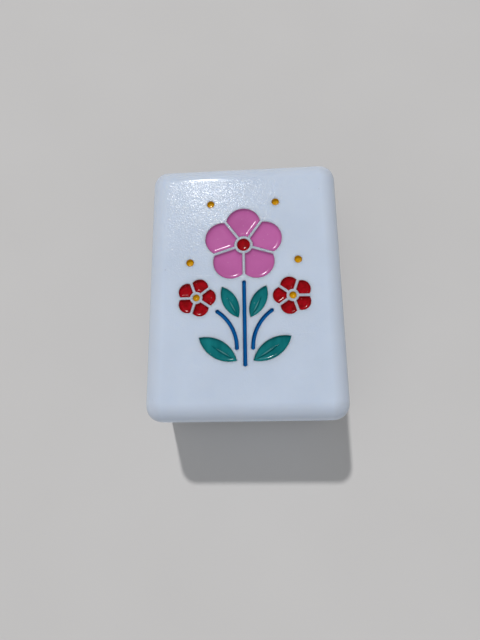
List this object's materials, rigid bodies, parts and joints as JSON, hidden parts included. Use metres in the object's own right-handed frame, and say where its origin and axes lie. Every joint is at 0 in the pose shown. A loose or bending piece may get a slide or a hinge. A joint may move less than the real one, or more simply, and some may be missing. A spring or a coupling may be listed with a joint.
{
  "type": "mahjong tile",
  "caption": "White rounded game tile with a flower engraved in its face and filled with coloured enamel.",
  "frame": {"origin": "centre of the back face, the face that lies on the table", "axes": "+Z out of the engraved face, +Y towards the head of the face, +X to the right of the face"},
  "size_m": [0.022, 0.03, 0.013],
  "materials": {
    "white_block": "satin, fine orange-peel",
    "pink_enamel": "gloss",
    "red_enamel": "gloss",
    "teal_enamel": "gloss",
    "blue_enamel": "gloss",
    "amber_enamel": "gloss"
  },
  "bodies": {
    "root": {"tile_block": "white_block", "blossom_eye": "red_enamel", "main_stem": "blue_enamel", "petal_1": "pink_enamel", "petal_2": "pink_enamel", "petal_3": "pink_enamel", "petal_4": "pink_enamel", "petal_5": "pink_enamel", "right_petal_1": "red_enamel", "right_petal_2": "red_enamel", "right_petal_3": "red_enamel", "right_petal_4": "red_enamel", "right_petal_5": "red_enamel", "left_petal_1": "red_enamel", "left_petal_2": "red_enamel", "left_petal_3": "red_enamel", "left_petal_4": "red_enamel", "left_petal_5": "red_enamel", "right_eye": "amber_enamel", "left_eye": "amber_enamel", "right_stem": "blue_enamel", "left_stem": "blue_enamel", "upper_right_leaf": "teal_enamel", "upper_left_leaf": "teal_enamel", "lower_right_leaf": "teal_enamel", "lower_left_leaf": "teal_enamel", "dot_1": "amber_enamel", "dot_2": "amber_enamel", "dot_3": "amber_enamel", "dot_4": "amber_enamel"}
  },
  "joints": []
}
